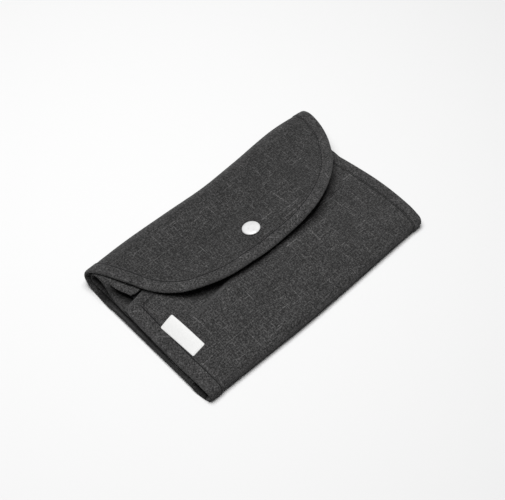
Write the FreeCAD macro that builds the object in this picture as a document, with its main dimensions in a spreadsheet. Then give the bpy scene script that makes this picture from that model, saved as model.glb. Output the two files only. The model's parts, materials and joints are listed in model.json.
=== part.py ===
import FreeCAD, Part
import math
import os
import re
import Sketcher
from FreeCAD import Vector

# Film changing bag, folded flat for storage and closed by a press stud.
# Frame: origin on the ground at the middle of the footprint, +X along the bag,
# +Y from the front fold to the back fold, +Z up. Millimetres.

# alias, value, what it is
DIMENSIONS = [
    ("bag_length", 236.0, "length along the folds"),
    ("bag_width", 144.0, "from the front fold to the back fold"),
    ("cloth", 1.2, "canvas with its interlining"),
    ("lining", 0.6, "lining cloth"),
    ("binding_width", 9.5, "bound edge, seen from above"),
    ("binding_swell", 0.2, "how far a binding stands proud of the cloth"),
    ("gap", 0.3, "clearance between pieces that move apart"),
    ("back_fold", 12.0, "outer radius of the back fold"),
    ("front_fold", 5.0, "outer radius of the front fold"),
    ("flap_shift", 3.5, "flap's middle, along X"),
    ("flap_half", 114.5, "half the flap's width at the fold"),
    ("flap_depth", 76.6, "from the fold line to the flap's tip"),
    ("flap_corner", 62.0, "radius of the flap's rounded corners"),
    ("panel_slope", 5.4, "degrees that the front panel rises towards its mouth"),
    ("panel_left", -114.0, "front panel's left edge"),
    ("panel_depth", 96.8, "front panel, from its fold to its mouth"),
    ("mouth_hem_width", 8.0, "hem along the mouth"),
    ("label_left", -104.3, "label's left edge"),
    ("label_width", 12.4, "label, along X"),
    ("label_start", 30.0, "label's near edge, up the front panel"),
    ("label_depth", 35.0, "label, up the front panel"),
    ("label_cloth", 0.5, "label's thickness"),
    ("snap_along", 2.0, "press stud's middle, along X"),
    ("snap_across", 10.5, "press stud's middle, along Y"),
    ("snap_up_panel", 78.0, "press stud's middle, up the front panel"),
    ("cap_radius", 7.5, "press stud's cap"),
    ("cap_height", 2.2, "cap above the flap"),
    ("cap_round", 1.4, "rounding of the cap's rim"),
    ("cap_post", 1.7, "radius of the cap's post"),
    ("socket_radius", 5.5, "socket's outer radius"),
    ("socket_cavity", 3.5, "radius of the socket's cavity"),
    ("socket_depth", 3.2, "socket below the flap"),
    ("socket_wall", 1.0, "socket's top wall"),
    ("stud_flange", 5.0, "radius of the stud's flange"),
    ("stud_neck", 1.8, "radius of the stud's neck"),
    ("stud_head", 2.1, "radius of the stud's head"),
    ("stud_height", 3.2, "stud above the front panel"),
    ("stud_head_height", 1.2, "thickness of the stud's head"),
    ("stud_flange_height", 0.6, "thickness of the stud's flange"),
    ("rivet_radius", 4.5, "radius of the stud's back plate"),
    ("rivet_post", 1.2, "radius of the post that holds the stud"),
    ("post_play", 0.1, "clearance round a post"),
    ("ply_half", 110.0, "half the length of the folded plies"),
    ("ply_front", -60.0, "front edge of the lower plies"),
    ("ply_back", 60.0, "back edge of all plies"),
    ("outer_plies_low", 2.2, "underside of the folded outer bag"),
    ("outer_plies_high", 5.1, "top of the folded outer bag"),
    ("inner_plies_low", 5.4, "underside of the folded inner bag"),
    ("inner_plies_high", 7.9, "top of the folded inner bag"),
    ("sleeve_low", 8.2, "underside of the folded sleeves"),
    ("sleeve_high", 11.0, "top of the folded sleeves"),
    ("sleeve_front", -28.0, "front edge of the sleeves"),
    ("sleeve_outer", 106.0, "outer end of each sleeve, along X"),
    ("cuff_outer", 16.0, "outer edge of each cuff's elastic, along X"),
    ("cuff_width", 8.0, "width of the cuff elastic"),
    ("cuff_inset", 8.0, "how much narrower than its sleeve a cuff is, each side"),
    ("yoke_low", 11.5, "underside of the top ply that carries the zip"),
    ("yoke_high", 13.3, "top of that ply"),
    ("yoke_front", -4.0, "front edge of that ply"),
    ("zip_middle", 44.3, "zip's centre line, along Y"),
    ("zip_half", 104.0, "half the length of the zip tapes"),
    ("tape_width", 12.0, "width of each zip tape"),
    ("tape_low", 12.4, "underside of the zip tapes"),
    ("tape_cloth", 0.8, "thickness of the zip tapes"),
    ("coil_gap", 1.6, "lane between the two coils"),
    ("coil_width", 0.9, "width of each coil"),
    ("coil_height", 1.4, "height of each coil"),
    ("stop_length", 2.0, "length of each end stop"),
    ("stop_height", 0.6, "height of each end stop above its coil"),
    ("slider_place", 92.0, "slider's middle, along X"),
    ("slider_length", 11.0, "slider's plates, along X"),
    ("slider_width", 8.0, "slider's plates, along Y"),
    ("slider_plate", 0.7, "thickness of the slider's plates"),
    ("slider_bridge", 0.9, "width of the bridge between the plates"),
    ("lug_space", 2.4, "room between the slider's lugs"),
    ("lug_thick", 0.8, "thickness of each lug"),
    ("lug_half", 1.1, "half the length of each lug"),
    ("pin_height", 1.0, "pull's axis above the slider"),
    ("pin_radius", 0.45, "radius of the pull's pin"),
    ("pin_bore", 0.52, "radius of the bores in the lugs"),
    ("pull_length", 8.5, "pull, from its pin"),
    ("pull_neck", 2.0, "width of the pull between the lugs"),
    ("pull_width", 4.6, "width of the pull's tab"),
    ("pull_thick", 0.9, "thickness of the pull"),
    ("trap_left", -105.0, "light-trap flap's left edge"),
    ("trap_right", 78.0, "light-trap flap's right edge"),
    ("trap_front", 30.8, "light-trap flap's free edge"),
    ("trap_back", 57.4, "light-trap flap's sewn edge"),
    ("trap_low", 19.4, "underside of the light-trap flap"),
    ("trap_hem_width", 7.0, "hem of the light-trap flap"),
]
size = {alias: value for alias, value, note in DIMENSIONS}

doc = FreeCAD.newDocument("film_changing_bag")
sheet = doc.addObject("Spreadsheet::Sheet", "Dims")
for row, (alias, value, note) in enumerate(DIMENSIONS, start=1):
    sheet.set(f"A{row}", alias.replace("_", " "))
    sheet.set(f"B{row}", str(value))
    sheet.set(f"C{row}", note)
    sheet.setAlias(f"B{row}", alias)
doc.recompute()

parts = []


# ---------------------------------------------------------------- helpers

def with_sheet(formula):
    """A formula of aliases, written the way the expression engine reads them."""
    def full_name(match):
        word = match.group()
        return f"Dims.{word}" if word in size else word

    return re.sub(r"[a-z_]{3,}", full_name, formula)


def bind(target, path, formula):
    target.setExpression(path, with_sheet(formula))


def new_body(label, whole_part=True):
    """An empty body; it is written out by itself unless it is only a piece of some other part."""
    body = doc.addObject("PartDesign::Body", label)
    body.Label = label
    if whole_part:
        parts.append(body)
    return body


def new_sketch(body, role, height="0"):
    """A sketch on one of the body's own origin planes, raised along the plane's normal."""
    sketch = body.newObject("Sketcher::SketchObject", body.Name + "_sketch")
    plane = [feature for feature in body.Origin.OriginFeatures if feature.Role == role][0]
    sketch.AttachmentSupport = (plane, "")
    sketch.MapMode = "FlatFace"
    bind(sketch, "AttachmentOffset.Base.z", height)
    return sketch


def constrain(sketch, formula, kind, *geometry):
    """A dimension of the sketch that follows the sheet."""
    index = sketch.addConstraint(Sketcher.Constraint(kind, *geometry))
    bind(sketch, f"Constraints[{index}]", formula)


def place_point(sketch, edge, end, across, up):
    """Hold one end, or the centre, of an edge at a place given by two formulas."""
    now = sketch.getPoint(edge, end)
    for kind, axis, formula, start in (("DistanceX", -2, across, now.x), ("DistanceY", -1, up, now.y)):
        if formula == "0":
            sketch.addConstraint(Sketcher.Constraint("PointOnObject", edge, end, axis))
        else:
            constrain(sketch, formula, kind, -1, 1, edge, end, start)


def polygon(sketch, corners):
    """A closed outline of straight lines through corners given as pairs of formulas."""
    count = len(corners)
    first = sketch.GeometryCount
    spots = [Vector(math.cos(math.tau * i / count), math.sin(math.tau * i / count), 0) for i in range(count)]
    for i in range(count):
        sketch.addGeometry(Part.LineSegment(spots[i], spots[(i + 1) % count]), False)
    for i, (across, up) in enumerate(corners):
        following = first + (i + 1) % count
        sketch.addConstraint(Sketcher.Constraint("Coincident", first + i, 2, following, 1))
        place_point(sketch, first + i, 1, across, up)


def rectangle(sketch, left, right, near, far):
    polygon(sketch, [(left, near), (right, near), (right, far), (left, far)])


def circle(sketch, radius, across="0", up="0"):
    index = sketch.addGeometry(Part.Circle(Vector(0, 0, 0), Vector(0, 0, 1), 1.0), False)
    constrain(sketch, radius, "Radius", index, 1.0)
    place_point(sketch, index, 3, across, up)


def pad(body, sketch, length):
    feature = body.newObject("PartDesign::Pad", body.Name + "_pad")
    feature.Profile = sketch
    bind(feature, "Length", length)
    sketch.Visibility = False
    return feature


def pocket(body, sketch):
    """Cut right through the body, both ways from the sketch."""
    feature = body.newObject("PartDesign::Pocket", body.Name + "_pocket")
    feature.Profile = sketch
    feature.Type = "ThroughAll"
    feature.Midplane = True
    sketch.Visibility = False
    return feature


def revolve(body, sketch):
    """Turn the sketch a full turn about its own vertical axis."""
    feature = body.newObject("PartDesign::Revolution", body.Name + "_turn")
    feature.Profile = sketch
    feature.ReferenceAxis = (sketch, ["V_Axis"])
    feature.Angle = 360
    sketch.Visibility = False
    return feature


def plate(label, left, right, near, far, low, thickness):
    """A flat ply of cloth."""
    body = new_body(label)
    sketch = new_sketch(body, "XY_Plane", low)
    rectangle(sketch, left, right, near, far)
    pad(body, sketch, thickness)
    return body


def round_hole(body, low, radius, across, up):
    sketch = new_sketch(body, "XY_Plane", low)
    circle(sketch, radius, across, up)
    pocket(body, sketch)


# ---------------------------------------------------------------- the shell round the bag

BACK_AXIS = "bag_width / 2 - back_fold"
FRONT_AXIS = "front_fold - bag_width / 2"


def shell_profile(sketch, inset, thickness):
    """Section of a ply that runs under the bag and round both folds, in the YZ plane."""
    back_y = size["bag_width"] / 2 - size["back_fold"]
    front_y = size["front_fold"] - size["bag_width"] / 2
    back_r = size["back_fold"]
    front_r = size["front_fold"]
    half_turn = (-math.pi / 2, math.pi / 2)
    other_half = (math.pi / 2, 3 * math.pi / 2)

    def arc(y, radius, span):
        return Part.ArcOfCircle(Part.Circle(Vector(y, abs(radius), 0), Vector(0, 0, 1), radius), *span)

    def line(y_from, z_from, y_to, z_to):
        return Part.LineSegment(Vector(y_from, z_from, 0), Vector(y_to, z_to, 0))

    floor, back_out, back_end, back_in, inside, front_in, front_end, front_out = range(8)
    sketch.addGeometry([
        line(front_y, 0, back_y, 0),
        arc(back_y, back_r, half_turn),
        line(back_y, 2 * back_r, back_y, 2 * back_r - 1),
        arc(back_y, back_r - 1, half_turn),
        line(back_y, 1, front_y, 1),
        arc(front_y, front_r - 1, other_half),
        line(front_y, 2 * front_r, front_y, 2 * front_r - 1),
        arc(front_y, front_r, other_half),
    ], False)
    joined = [(floor, 1, front_out, 2), (floor, 2, back_out, 1), (back_out, 2, back_end, 1),
              (back_end, 2, back_in, 2), (back_in, 1, inside, 1), (inside, 2, front_in, 2),
              (front_in, 1, front_end, 2), (front_end, 1, front_out, 1),
              (back_in, 3, back_out, 3), (front_in, 3, front_out, 3)]
    for ends in joined:
        sketch.addConstraint(Sketcher.Constraint("Coincident", *ends))
    for edge in (back_out, back_in, front_in, front_out):
        for end in (1, 2):
            sketch.addConstraint(Sketcher.Constraint("Vertical", edge, end, edge, 3))
    place_point(sketch, back_out, 3, BACK_AXIS, "back_fold")
    place_point(sketch, front_out, 3, FRONT_AXIS, "front_fold")
    constrain(sketch, f"back_fold - ({inset})", "Radius", back_out, back_r)
    constrain(sketch, f"back_fold - ({inset}) - ({thickness})", "Radius", back_in, back_r - 1)
    constrain(sketch, f"front_fold - ({inset})", "Radius", front_out, front_r)
    constrain(sketch, f"front_fold - ({inset}) - ({thickness})", "Radius", front_in, front_r - 1)


def shell_ply(label, left, right, inset, thickness):
    body = new_body(label)
    sketch = new_sketch(body, "YZ_Plane", left)
    shell_profile(sketch, inset, thickness)
    pad(body, sketch, f"({right}) - ({left})")
    return body


END = "bag_length / 2"
BAND = "bag_length / 2 - binding_width"
shell_ply("outer_shell", f"-({BAND})", BAND, "0", "cloth")
shell_ply("shell_lining", f"-({BAND})", BAND, "cloth", "lining")
shell_ply("left_end_binding", f"-({END})", f"-({BAND})", "0", "cloth + lining + binding_swell")
shell_ply("right_end_binding", BAND, END, "0", "cloth + lining + binding_swell")


# ---------------------------------------------------------------- the folded bag inside

plate("outer_bag_plies", "-ply_half", "ply_half", "ply_front", "ply_back",
      "outer_plies_low", "outer_plies_high - outer_plies_low")
plate("inner_bag_plies", "-ply_half", "ply_half", "ply_front", "ply_back",
      "inner_plies_low", "inner_plies_high - inner_plies_low")
plate("zip_yoke", "-ply_half", "ply_half",
      "yoke_front", "zip_middle - coil_gap / 2 - coil_width - tape_width",
      "yoke_low", "yoke_high - yoke_low")


def arm_sleeve(side, sign):
    """One sleeve lies flat with the elastic of its cuff towards the middle of the bag."""
    ends = [f"{sign}*sleeve_outer", f"{sign}*(cuff_outer + gap)"]
    cuff = [f"{sign}*cuff_outer", f"{sign}*(cuff_outer - cuff_width)"]
    if sign > 0:
        ends.reverse()
        cuff.reverse()
    plate(f"{side}_sleeve", *ends, "sleeve_front", "ply_back", "sleeve_low", "sleeve_high - sleeve_low")
    plate(f"{side}_cuff_elastic", *cuff, "sleeve_front + cuff_inset", "ply_back - cuff_inset",
          "sleeve_low", "sleeve_high - sleeve_low")


arm_sleeve("left", -1)
arm_sleeve("right", 1)


# ---------------------------------------------------------------- zip

def zip_side(side, sign):
    """A tape and its coil, one each side of the zip's centre line."""
    coil = [f"zip_middle + {sign}*(coil_gap / 2)", f"zip_middle + {sign}*(coil_gap / 2 + coil_width)"]
    tape = [coil[1], f"zip_middle + {sign}*(coil_gap / 2 + coil_width + tape_width)"]
    if sign < 0:
        coil.reverse()
        tape.reverse()
    plate(f"zip_tape_{side}", "-zip_half", "zip_half", *tape, "tape_low", "tape_cloth")
    plate(f"zip_coil_{side}", "-zip_half", "zip_half - stop_length", *coil, "tape_low", "coil_height")


zip_side("front", -1)
zip_side("back", 1)


def end_stop(name, left, near):
    """A small block crimped on the end of one coil."""
    block = doc.addObject("Part::Box", name)
    bind(block, "Length", "stop_length")
    bind(block, "Width", "coil_width")
    bind(block, "Height", "stop_height")
    bind(block, "Placement.Base.x", left)
    bind(block, "Placement.Base.y", near)
    bind(block, "Placement.Base.z", "tape_low + coil_height")
    return block


stops = doc.addObject("Part::Compound", "zip_end_stops")
stops.Label = "zip_end_stops"
stop_places = [("closed", "zip_half - 2*stop_length"), ("open", "-zip_half")]
coil_places = [("front", "zip_middle - coil_gap / 2 - coil_width"), ("back", "zip_middle + coil_gap / 2")]
stops.Links = [end_stop(f"{end}_{side}_stop", left, near)
               for end, left in stop_places for side, near in coil_places]
parts.append(stops)

SLIDER_FLOOR = "tape_low - gap - slider_plate"
SLIDER_TOP = "tape_low + coil_height + gap"
PIN_LEVEL = "tape_low + coil_height + gap + slider_plate + pin_height"


def box_on_slider(name, half_length, near, far, low, high):
    """A block of the slider, centred on the slider along X."""
    block = doc.addObject("Part::Box", name)
    bind(block, "Length", f"2*({half_length})")
    bind(block, "Width", f"({far}) - ({near})")
    bind(block, "Height", f"({high}) - ({low})")
    bind(block, "Placement.Base.x", f"slider_place - ({half_length})")
    bind(block, "Placement.Base.y", f"zip_middle + ({near})")
    bind(block, "Placement.Base.z", low)
    return block


def zip_slider():
    """Two plates and the bridge between them, with two lugs on top for the pull's pin."""
    half = "slider_length / 2"
    blocks = [
        box_on_slider("slider_floor", half, "-slider_width/2", "slider_width/2", SLIDER_FLOOR,
                      f"{SLIDER_FLOOR} + slider_plate"),
        box_on_slider("slider_top", half, "-slider_width/2", "slider_width/2", SLIDER_TOP,
                      f"{SLIDER_TOP} + slider_plate"),
        box_on_slider("slider_neck", "slider_length / 4", "-slider_bridge/2", "slider_bridge/2",
                      f"{SLIDER_FLOOR} + slider_plate/2", f"{SLIDER_TOP} + slider_plate/2"),
    ]
    for sign, side in ((-1, "front"), (1, "back")):
        edges = [f"{sign}*lug_space/2", f"{sign}*(lug_space/2 + lug_thick)"]
        if sign < 0:
            edges.reverse()
        blocks.append(box_on_slider(f"slider_lug_{side}", "lug_half", *edges,
                                    f"{SLIDER_TOP} + slider_plate/2", f"{PIN_LEVEL} + lug_half"))
    solid = doc.addObject("Part::MultiFuse", "slider_blocks")
    solid.Shapes = blocks
    bore = doc.addObject("Part::Cylinder", "slider_bore")
    bind(bore, "Radius", "pin_bore")
    bind(bore, "Height", "slider_width")
    bore.Placement.Rotation = FreeCAD.Rotation(Vector(1, 0, 0), -90)
    bind(bore, "Placement.Base.x", "slider_place")
    bind(bore, "Placement.Base.y", "zip_middle - slider_width/2")
    bind(bore, "Placement.Base.z", PIN_LEVEL)
    slider = doc.addObject("Part::Cut", "zip_slider")
    slider.Label = "zip_slider"
    slider.Base = solid
    slider.Tool = bore
    parts.append(slider)


def zip_pull():
    """A flat tab on a pin. It lies along the zip, away from the closed end."""
    tab = new_body("pull_tab", whole_part=False)
    sketch = new_sketch(tab, "XY_Plane", "-pull_thick/2")
    shoulder = "lug_half*2 + pull_neck/2"
    near_side = [("0", "-pull_neck/2"), ("lug_half*2", "-pull_neck/2"), (shoulder, "-pull_width/2"),
                 ("pull_length", "-pull_width/2")]
    far_side = [(along, across.replace("-", "")) for along, across in reversed(near_side)]
    polygon(sketch, near_side + far_side)
    pad(tab, sketch, "pull_thick")
    pin = doc.addObject("Part::Cylinder", "pull_pin")
    bind(pin, "Radius", "pin_radius")
    bind(pin, "Height", "lug_space + 2*lug_thick")
    pin.Placement.Rotation = FreeCAD.Rotation(Vector(1, 0, 0), -90)
    bind(pin, "Placement.Base.y", "-lug_space/2 - lug_thick")
    pull = doc.addObject("Part::Fuse", "zip_pull")
    pull.Label = "zip_pull"
    pull.Base = tab
    pull.Tool = pin
    bind(pull, "Placement.Base.x", "slider_place")
    bind(pull, "Placement.Base.y", "zip_middle")
    bind(pull, "Placement.Base.z", PIN_LEVEL)
    parts.append(pull)


zip_slider()
zip_pull()


# ---------------------------------------------------------------- light-trap flap over the zip

plate("light_trap_flap", "trap_left + trap_hem_width", "trap_right",
      "trap_front + trap_hem_width", "trap_back", "trap_low", "cloth")


def light_trap_hem():
    """A doubled hem along the free edge and the left edge, meeting in a square corner."""
    body = new_body("light_trap_hem")
    sketch = new_sketch(body, "XY_Plane", "trap_low - binding_swell")
    inner_left = "trap_left + trap_hem_width"
    inner_front = "trap_front + trap_hem_width"
    polygon(sketch, [("trap_left", "trap_front"), ("trap_right", "trap_front"), ("trap_right", inner_front),
                     (inner_left, inner_front), (inner_left, "trap_back"), ("trap_left", "trap_back")])
    pad(body, sketch, "cloth + 2*binding_swell")


light_trap_hem()


# ---------------------------------------------------------------- flap

FLAP_TOP = "2*back_fold"
FLAP_LINE = f"{BACK_AXIS} - gap"


def flap_outline(sketch, inset):
    """The flap: a straight edge at the fold, two rounded corners and one wide arc at the tip.

    The arcs keep their centres when the outline is inset, so a bound edge has an even width.
    """
    corner = size["flap_corner"]
    half = size["flap_half"] - corner
    depth = size["flap_depth"]
    wide = (half ** 2 + depth ** 2 - corner ** 2) / (2 * (depth - corner))
    line_y = size["bag_width"] / 2 - size["back_fold"] - size["gap"]
    drop = size["binding_width"] if inset != "0" else 0.0
    shift = size["flap_shift"]
    middle = Vector(shift, line_y - depth + wide, 0)
    turn = math.atan2(middle.y - line_y, half)

    def arc(centre, radius, start, end):
        return Part.ArcOfCircle(Part.Circle(centre, Vector(0, 0, 1), radius), start, end)

    fold, right, tip, left = range(4)
    reach = half + corner - drop
    sketch.addGeometry([
        Part.LineSegment(Vector(shift - reach, line_y, 0), Vector(shift + reach, line_y, 0)),
        arc(Vector(shift + half, line_y, 0), corner - drop, -turn, 0),
        arc(middle, wide - drop, math.pi + turn, 2 * math.pi - turn),
        arc(Vector(shift - half, line_y, 0), corner - drop, math.pi, math.pi + turn),
    ], False)
    for ends in ((fold, 1, left, 1), (fold, 2, right, 2)):
        sketch.addConstraint(Sketcher.Constraint("Coincident", *ends))
    for ends in ((left, 2, tip, 1), (tip, 2, right, 1)):
        sketch.addConstraint(Sketcher.Constraint("Tangent", *ends))
    sketch.addConstraint(Sketcher.Constraint("Horizontal", right, 2, right, 3))
    sketch.addConstraint(Sketcher.Constraint("Horizontal", left, 1, left, 3))
    place_point(sketch, right, 3, "flap_shift + flap_half - flap_corner", FLAP_LINE)
    place_point(sketch, left, 3, "flap_shift - flap_half + flap_corner", FLAP_LINE)
    for edge in (left, right):
        constrain(sketch, f"flap_corner - ({inset})", "Radius", edge, corner - drop)
    wide_radius = ("((flap_half - flap_corner)^2 + flap_depth^2 - flap_corner^2)"
                   f" / (2*(flap_depth - flap_corner)) - ({inset})")
    constrain(sketch, wide_radius, "Radius", tip, wide - drop)


def flap_ply(label, inset, low, thickness):
    body = new_body(label)
    sketch = new_sketch(body, "XY_Plane", low)
    flap_outline(sketch, inset)
    pad(body, sketch, thickness)
    return body


def flap_binding():
    """The bound edge: the rim of the outline, standing proud of the cloth on both sides."""
    low = f"{FLAP_TOP} - cloth - lining - binding_swell"
    body = flap_ply("flap_binding", "0", low, "cloth + lining + 2*binding_swell")
    sketch = new_sketch(body, "XY_Plane", low)
    flap_outline(sketch, "binding_width")
    pocket(body, sketch)


SNAP_PLACE = ("snap_along", "snap_across")
flap_cloth = flap_ply("flap_outer", "binding_width", f"{FLAP_TOP} - cloth", "cloth")
flap_inside = flap_ply("flap_lining", "binding_width", f"{FLAP_TOP} - cloth - lining", "lining")
for ply in (flap_cloth, flap_inside):
    round_hole(ply, FLAP_TOP, "cap_post + post_play", *SNAP_PLACE)
flap_binding()


# ---------------------------------------------------------------- front panel

def on_front_panel(piece):
    """Tilt a piece that was drawn flat: its origin goes to the front fold's top line."""
    piece.Placement.Rotation = FreeCAD.Rotation(Vector(1, 0, 0), size["panel_slope"])
    bind(piece, "Placement.Rotation.Angle", "panel_slope")
    bind(piece, "Placement.Base.y", FRONT_AXIS)
    bind(piece, "Placement.Base.z", "2*front_fold")


PANEL_IN = ("panel_left + binding_width", BAND)
HEM_LINE = "panel_depth - mouth_hem_width"
BOUND_LOW = "-cloth - lining - binding_swell"
BOUND_THICK = "cloth + lining + 2*binding_swell"
panel_cloth = plate("front_panel", *PANEL_IN, "gap", HEM_LINE, "-cloth", "cloth")
panel_inside = plate("front_lining", *PANEL_IN, "gap", HEM_LINE, "-cloth - lining", "lining")
for ply in (panel_cloth, panel_inside):
    round_hole(ply, "-cloth", "rivet_post + post_play", "snap_along", "snap_up_panel")
panel_pieces = [
    panel_cloth,
    panel_inside,
    plate("left_front_binding", "panel_left", "panel_left + binding_width", "gap", "panel_depth",
          BOUND_LOW, BOUND_THICK),
    plate("right_front_binding", BAND, END, "gap", "panel_depth", BOUND_LOW, BOUND_THICK),
    plate("mouth_hem", *PANEL_IN, HEM_LINE, "panel_depth", BOUND_LOW, BOUND_THICK),
    plate("side_label", "label_left", "label_left + label_width", "label_start", "label_start + label_depth",
          "0", "label_cloth"),
]


# ---------------------------------------------------------------- press stud

def turned(label, section):
    """A turned piece, drawn in the XZ plane about the stud's own axis."""
    body = new_body(label)
    sketch = new_sketch(body, "XZ_Plane")
    polygon(sketch, section)
    revolve(body, sketch)
    return body


def round_rim(body, radius, level, rounding):
    """Fillet the circular edge of the given radius at the given level."""
    doc.recompute()
    turned_feature = body.Tip
    edges = turned_feature.Shape.Edges
    rims = [f"Edge{number}" for number, edge in enumerate(edges, start=1)
            if isinstance(edge.Curve, Part.Circle) and abs(edge.Curve.Radius - radius) < 1e-6
            and abs(edge.Curve.Center.z - level) < 1e-6]
    fillet = body.newObject("PartDesign::Fillet", body.Name + "_rim")
    fillet.Base = (turned_feature, rims)
    bind(fillet, "Radius", rounding)


def snap_on_flap(piece):
    bind(piece, "Placement.Base.x", "snap_along")
    bind(piece, "Placement.Base.y", "snap_across")
    bind(piece, "Placement.Base.z", FLAP_TOP)


under_plies = "-cloth - lining"
post_end = f"{under_plies} - socket_wall/2"
cap = turned("snap_cap", [
    ("0", post_end), ("cap_post", post_end), ("cap_post", "0"),
    ("cap_radius", "0"), ("cap_radius", "cap_height"), ("0", "cap_height")])
round_rim(cap, size["cap_radius"], size["cap_height"], "cap_round")

socket_end = f"{under_plies} - socket_depth"
cavity_top = f"{under_plies} - socket_wall"
socket = turned("snap_socket", [
    ("cap_post + post_play", under_plies), ("socket_radius", under_plies),
    ("socket_radius", socket_end), ("socket_cavity", socket_end),
    ("socket_cavity", cavity_top), ("cap_post + post_play", cavity_top)])
for piece in (cap, socket):
    snap_on_flap(piece)

neck_top = "stud_height - stud_head_height"
stud = turned("snap_stud", [
    ("rivet_post + post_play", "0"), ("stud_flange", "0"), ("stud_flange", "stud_flange_height"),
    ("stud_neck", "stud_flange_height"), ("stud_neck", neck_top), ("stud_head", neck_top),
    ("stud_head", "stud_height"), ("0", "stud_height"), ("0", "stud_height/2"),
    ("rivet_post + post_play", "stud_height/2")])
rivet_low = f"{under_plies} - stud_flange_height"
rivet_tip = "stud_height/2 - post_play"
rivet = turned("snap_rivet", [
    ("0", rivet_low), ("rivet_radius", rivet_low), ("rivet_radius", under_plies),
    ("rivet_post", under_plies), ("rivet_post", rivet_tip), ("0", rivet_tip)])


def snap_on_panel(piece):
    """Stand a piece of the stud on the sloping front panel."""
    bind(piece, "Placement.Base.x", "snap_along")
    piece.Placement.Rotation = FreeCAD.Rotation(Vector(1, 0, 0), size["panel_slope"])
    bind(piece, "Placement.Rotation.Angle", "panel_slope")
    bind(piece, "Placement.Base.y", f"{FRONT_AXIS} + snap_up_panel * cos(panel_slope * 1 deg)")
    bind(piece, "Placement.Base.z", "2*front_fold + snap_up_panel * sin(panel_slope * 1 deg)")


for piece in panel_pieces:
    on_front_panel(piece)
for piece in (stud, rivet):
    snap_on_panel(piece)


# ---------------------------------------------------------------- check and write

doc.recompute()
for item in doc.Objects:
    if {"Invalid", "Error"} & set(item.State):
        raise RuntimeError(f"{item.Label} failed: {item.State}")
for part in parts:
    if part.Shape.isNull() or not part.Shape.isValid():
        raise RuntimeError(f"{part.Label} has no valid shape")

os.makedirs("parts", exist_ok=True)
for part in parts:
    part.Shape.exportStep(f"parts/{part.Label}.step")
    box = part.Shape.BoundBox
    print(f"{part.Label:20} {part.Shape.Volume:9.1f} mm3  x {box.XMin:7.1f}..{box.XMax:6.1f}"
          f"  y {box.YMin:6.1f}..{box.YMax:6.1f}  z {box.ZMin:5.1f}..{box.ZMax:5.1f}")
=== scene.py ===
import json
import math

import bmesh
import bpy
import numpy as np
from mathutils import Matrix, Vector


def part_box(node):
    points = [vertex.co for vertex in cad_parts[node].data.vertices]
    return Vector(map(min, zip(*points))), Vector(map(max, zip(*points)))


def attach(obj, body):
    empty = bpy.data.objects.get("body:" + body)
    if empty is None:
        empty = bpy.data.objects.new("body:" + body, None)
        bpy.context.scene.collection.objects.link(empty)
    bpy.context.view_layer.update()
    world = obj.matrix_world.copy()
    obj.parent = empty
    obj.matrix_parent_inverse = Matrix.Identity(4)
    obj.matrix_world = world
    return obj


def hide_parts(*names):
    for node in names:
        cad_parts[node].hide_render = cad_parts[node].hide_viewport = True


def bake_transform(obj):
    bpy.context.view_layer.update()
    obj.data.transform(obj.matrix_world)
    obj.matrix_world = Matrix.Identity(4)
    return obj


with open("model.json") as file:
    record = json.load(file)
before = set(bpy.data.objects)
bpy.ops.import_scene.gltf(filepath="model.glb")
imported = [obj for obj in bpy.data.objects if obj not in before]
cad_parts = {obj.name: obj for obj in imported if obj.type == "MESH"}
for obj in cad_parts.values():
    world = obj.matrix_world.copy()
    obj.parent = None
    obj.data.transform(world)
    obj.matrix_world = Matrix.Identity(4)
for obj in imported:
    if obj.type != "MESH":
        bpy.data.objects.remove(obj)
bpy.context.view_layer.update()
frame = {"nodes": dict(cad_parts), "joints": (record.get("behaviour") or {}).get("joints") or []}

# A folded film changing bag: a bound bottom sheet folds up at the back into a round flap with a snap,
# and at the front into a panel. Between them lie the bag's own plies, sleeves, zip and light trap.
# Lengths below are in millimetres; finish_mesh() turns them into metres.

MM = 0.001


def box_mm(node):
    """The lowest and highest corner of a CAD node, in millimetres."""
    low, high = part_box(node)
    return np.array(low) / MM, np.array(high) / MM


def hinge_mm(name):
    """A joint's pivot, in millimetres."""
    joint = next(j for j in frame["joints"] if j["name"] == name)
    return np.array(joint["pos_m"], float) / MM


# ------------ sizes

SHELL_LOW, SHELL_HIGH = box_mm("outer_shell")
PANEL_HIGH = box_mm("front_panel")[1]
CAP_LOW, CAP_HIGH = box_mm("snap_cap")
TRAP_HIGH = box_mm("light_trap_flap")[1]
FRONT_HINGE = hinge_mm("front_hinge")

# Thicknesses, and the width of the binding tape.
CLOTH = 1.2
LINING = 0.6
TAPE = 0.5
TAPE_WIDTH = 9.6
BACK_RADIUS = (SHELL_HIGH[2] - SHELL_LOW[2]) / 2
BACK_FOLD_Y = SHELL_HIGH[1] - BACK_RADIUS
FRONT_FOLD_Y = FRONT_HINGE[1]
FRONT_RADIUS = FRONT_HINGE[2] / 2
PANEL_LEAN = math.cos(math.atan2(PANEL_HIGH[2] - FRONT_HINGE[2], PANEL_HIGH[1] - FRONT_FOLD_Y))
# Places along the cloth, from the top of its fold: the seams under the folds, and the panel's mouth.
BACK_SEAM = -math.pi * BACK_RADIUS
FRONT_SEAM = -math.pi * FRONT_RADIUS
MOUTH = 97.0
SNAP_X, SNAP_Y = (CAP_LOW[:2] + CAP_HIGH[:2]) / 2


# ------------ curves


def ramp(value, start, end):
    """0 at start and before it, 1 at end and beyond, with a smooth rise between. It may run downwards."""
    t = np.clip((value - start) / (end - start), 0.0, 1.0)
    return t * t * (3.0 - 2.0 * t)


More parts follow.
